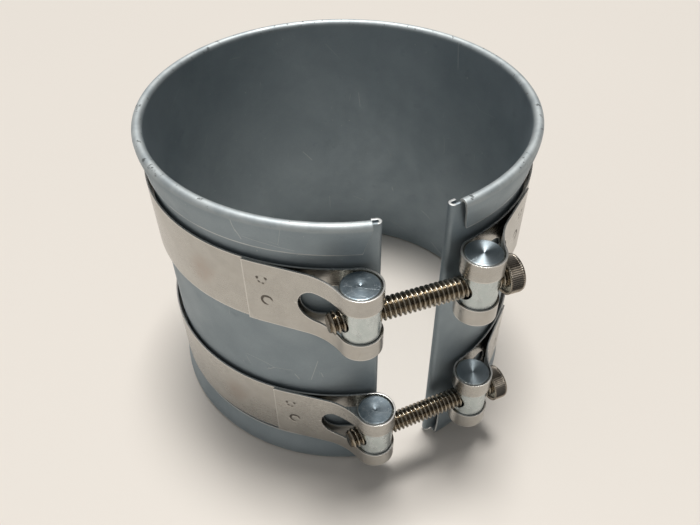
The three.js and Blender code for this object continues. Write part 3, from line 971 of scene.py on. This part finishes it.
def screw_steel():
    """Rolled thread steel: warm grey, with painted shade making the thread's roots dark brown and the
    knurl's grooves dark, bright on the crests.
    """
    look = Look("screw_steel", Metallic=1.0)
    place = look.node("TexCoord", {}).outputs["Object"]
    radius = look.from_axis(place)
    clouds = look.noise(place, 420, 4, 0.65)
    low, high = SCREW_ROOT_RADIUS * MM, SCREW_RADIUS * MM
    # Painted shade: the colour darkens from the crests down into the thread's roots.
    crest = look.between(radius, low, high)
    root_shade = look.mixed(look.between(clouds, 0.3, 0.7), colour(0.1, 0.08, 0.055), colour(0.19, 0.155, 0.11))
    top = look.mixed(look.between(clouds, 0.3, 0.7), colour(0.34, 0.3, 0.24), colour(0.48, 0.44, 0.37))
    head = look.mixed(look.between(clouds, 0.3, 0.7), colour(0.4, 0.36, 0.31), colour(0.56, 0.51, 0.44))
    knurl_root, knurl_crest = (HEAD_RADIUS - KNURL_DEPTH) * MM, HEAD_RADIUS * MM
    # Painted shade: the knurl's grooves are darkened.
    knurl_groove_shade = look.product(
        look.between(radius, knurl_root * 0.98, knurl_root),
        look.between(radius, knurl_crest * 0.998, knurl_root * 1.004),
    )
    head = look.mixed(look.math("MULTIPLY", knurl_groove_shade, 0.8), head, colour(0.06, 0.05, 0.04))
    thread = look.mixed(crest, root_shade, top)
    look.feed("Base Color", look.mixed(look.between(radius, high * 1.02, high * 1.1), thread, head))
    look.feed("Roughness", look.between(clouds, 0.3, 0.7, 0.18, 0.3))
    look.feed("Normal", look.bump(look.noise(place, 1800, 3), 0.00002, 0.4))
    return look.material


# ------------------------------------------------------------------------ assembly


def finished(piece, slot, material, *nodes):
    """Gives a piece its material, and hides the plain solids that it stands for."""
    piece.data.materials.clear()
    piece.data.materials.append(material)
    if nodes:
        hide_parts(*nodes)
    return piece


def bending(piece):
    """Bakes the piece's place into its mesh."""
    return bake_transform(piece)


def sheet_object(name, mesh, place):
    """A sheet piece, whose place goes into its mesh."""
    piece = mesh_object(name, mesh)
    piece.data.transform(place)
    return piece


def build_sleeve(material):
    mesh = sleeve_half()
    left = sheet_object("sleeve_left", mirror(mesh.copy()), placed(0, 0, 0))
    right = sheet_object("sleeve_right", mesh, placed(0, 0, 0))
    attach(finished(right, "coated_sheet", material, "sleeve"), "ring")
    bending(finished(left, "coated_sheet", material))


def band_height(level):
    """The height of a band's middle line, which is also that of its trunnions and its screw."""
    low, high = box_mm("plain_trunnion_" + level)
    return (low.z + high.z) / 2


def build_band(level, turn, material):
    place = placed(0, 0, band_height(level), turn)
    mesh = band_half()
    left = sheet_object(f"band_{level}_left", mirror(mesh.copy()), place)
    right = sheet_object(f"band_{level}_right", mesh, place)
    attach(finished(right, "strap_steel", material, "band_" + level), "ring")
    bending(finished(left, "strap_steel", material))


def build_trunnions(level, turn, looks):
    x, y = TRUNNION_PLAN
    z = band_height(level)
    for kind, side, hole, body in (
        ("plain", 1, PLAIN_RADIUS, "ring"),
        ("threaded", -1, TAPPED_RADIUS, level + "_trunnion"),
    ):
        node = f"{kind}_trunnion_{level}"
        piece = trunnion(node + "_turned", hole, placed(side * x, y, z, turn))
        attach(finished(piece, "turned_steel", looks[kind], node), body)


def build_screw(level, turn, material):
    tip = placed(SCREW_LOW.x, TRUNNION_PLAN.y, band_height(level), turn)
    lying = tip @ Matrix.Rotation(math.pi / 2, 4, "Y")
    piece = screw(f"cap_screw_{level}_turned", lying)
    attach(finished(piece, "screw_steel", material, "cap_screw_" + level), level + "_screw")


# ------------------------------------------------------------------------ floor, light and camera


def plain_material(name, shade, roughness):
    look = Look(name, Roughness=roughness)
    place = look.node("TexCoord", {}).outputs["Object"]
    darker = colour(*(0.96 * c for c in shade))
    look.feed("Base Color", look.mixed(look.noise(place, 3, 3), darker, colour(*shade)))
    return look.material


def build_floor():
    bpy.ops.mesh.primitive_plane_add(size=FLOOR_SIZE)
    floor = bpy.context.object
    floor.name = "floor"
    floor.data.materials.append(plain_material("floor", FLOOR_SHADE, FLOOR_ROUGHNESS))


def area_light(name, place, target, size, power, tint):
    lamp = bpy.data.lights.new(name, "AREA")
    lamp.shape = "RECTANGLE"
    lamp.size, lamp.size_y = size
    lamp.energy = power
    lamp.color = tint
    holder = bpy.data.objects.new(name, lamp)
    holder.location = place
    holder.rotation_euler = (Vector(target) - Vector(place)).to_track_quat("-Z", "Y").to_euler()
    bpy.context.scene.collection.objects.link(holder)


def build_world():
    """A soft sky, brightest overhead and brighter on the left. The camera sees a pale backdrop."""
    world = bpy.data.worlds.new("studio")
    bpy.context.scene.world = world
    world.use_nodes = True
    nodes, links = world.node_tree.nodes, world.node_tree.links
    coordinates = nodes.new("ShaderNodeTexCoord")
    slope = nodes.new("ShaderNodeVectorMath")
    slope.operation = "DOT_PRODUCT"
    slope.inputs[1].default_value = SKY_SLOPE
    ramp = nodes.new("ShaderNodeValToRGB")
    low, high = ramp.color_ramp.elements
    low.color, high.color = SKY_LOW, SKY_HIGH
    sky = nodes["Background"]
    sky.inputs["Strength"].default_value = SKY_STRENGTH
    backdrop = nodes.new("ShaderNodeBackground")
    backdrop.inputs["Color"].default_value = BACKDROP
    ray = nodes.new("ShaderNodeLightPath")
    mixed = nodes.new("ShaderNodeMixShader")
    links.new(coordinates.outputs["Generated"], slope.inputs[0])
    links.new(slope.outputs["Value"], ramp.inputs[0])
    links.new(ramp.outputs[0], sky.inputs["Color"])
    links.new(ray.outputs["Is Camera Ray"], mixed.inputs[0])
    links.new(sky.outputs[0], mixed.inputs[1])
    links.new(backdrop.outputs[0], mixed.inputs[2])
    links.new(mixed.outputs[0], nodes["World Output"].inputs[0])


def build_camera():
    data = bpy.data.cameras.new("camera")
    data.sensor_width = SENSOR_WIDTH
    data.lens = CAMERA_LENS
    camera = bpy.data.objects.new("camera", data)
    place, aim = CAMERA_PLACE * MM, CAMERA_AIM * MM
    turned = (aim - place).to_track_quat("-Z", "Y").to_matrix().to_4x4()
    roll = Matrix.Rotation(math.radians(CAMERA_ROLL), 4, "Z")
    camera.matrix_world = Matrix.Translation(place) @ turned @ roll
    bpy.context.scene.collection.objects.link(camera)
    bpy.context.scene.camera = camera


# ------------------------------------------------------------------------ the scene

build_camera()
build_world()
build_floor()
area_light("overhead", LAMP_PLACE, LAMP_TARGET, LAMP_SIZE, LAMP_POWER, LAMP_TINT)

build_sleeve(coated_sheet())
strap, rolled = strap_steel(), screw_steel()
turned = {
    "plain": turned_steel("turned_steel", grain=0.9, wear=0.2),
    "threaded": turned_steel("worn_turned_steel", grain=0.4, wear=0.9),
}
for level, turn in (("upper", 0), ("lower", LOWER_BAND_TURN)):
    build_band(level, turn, strap)
    build_trunnions(level, turn, turned)
    build_screw(level, turn, rolled)

bpy.context.scene.view_settings.view_transform = "Standard"
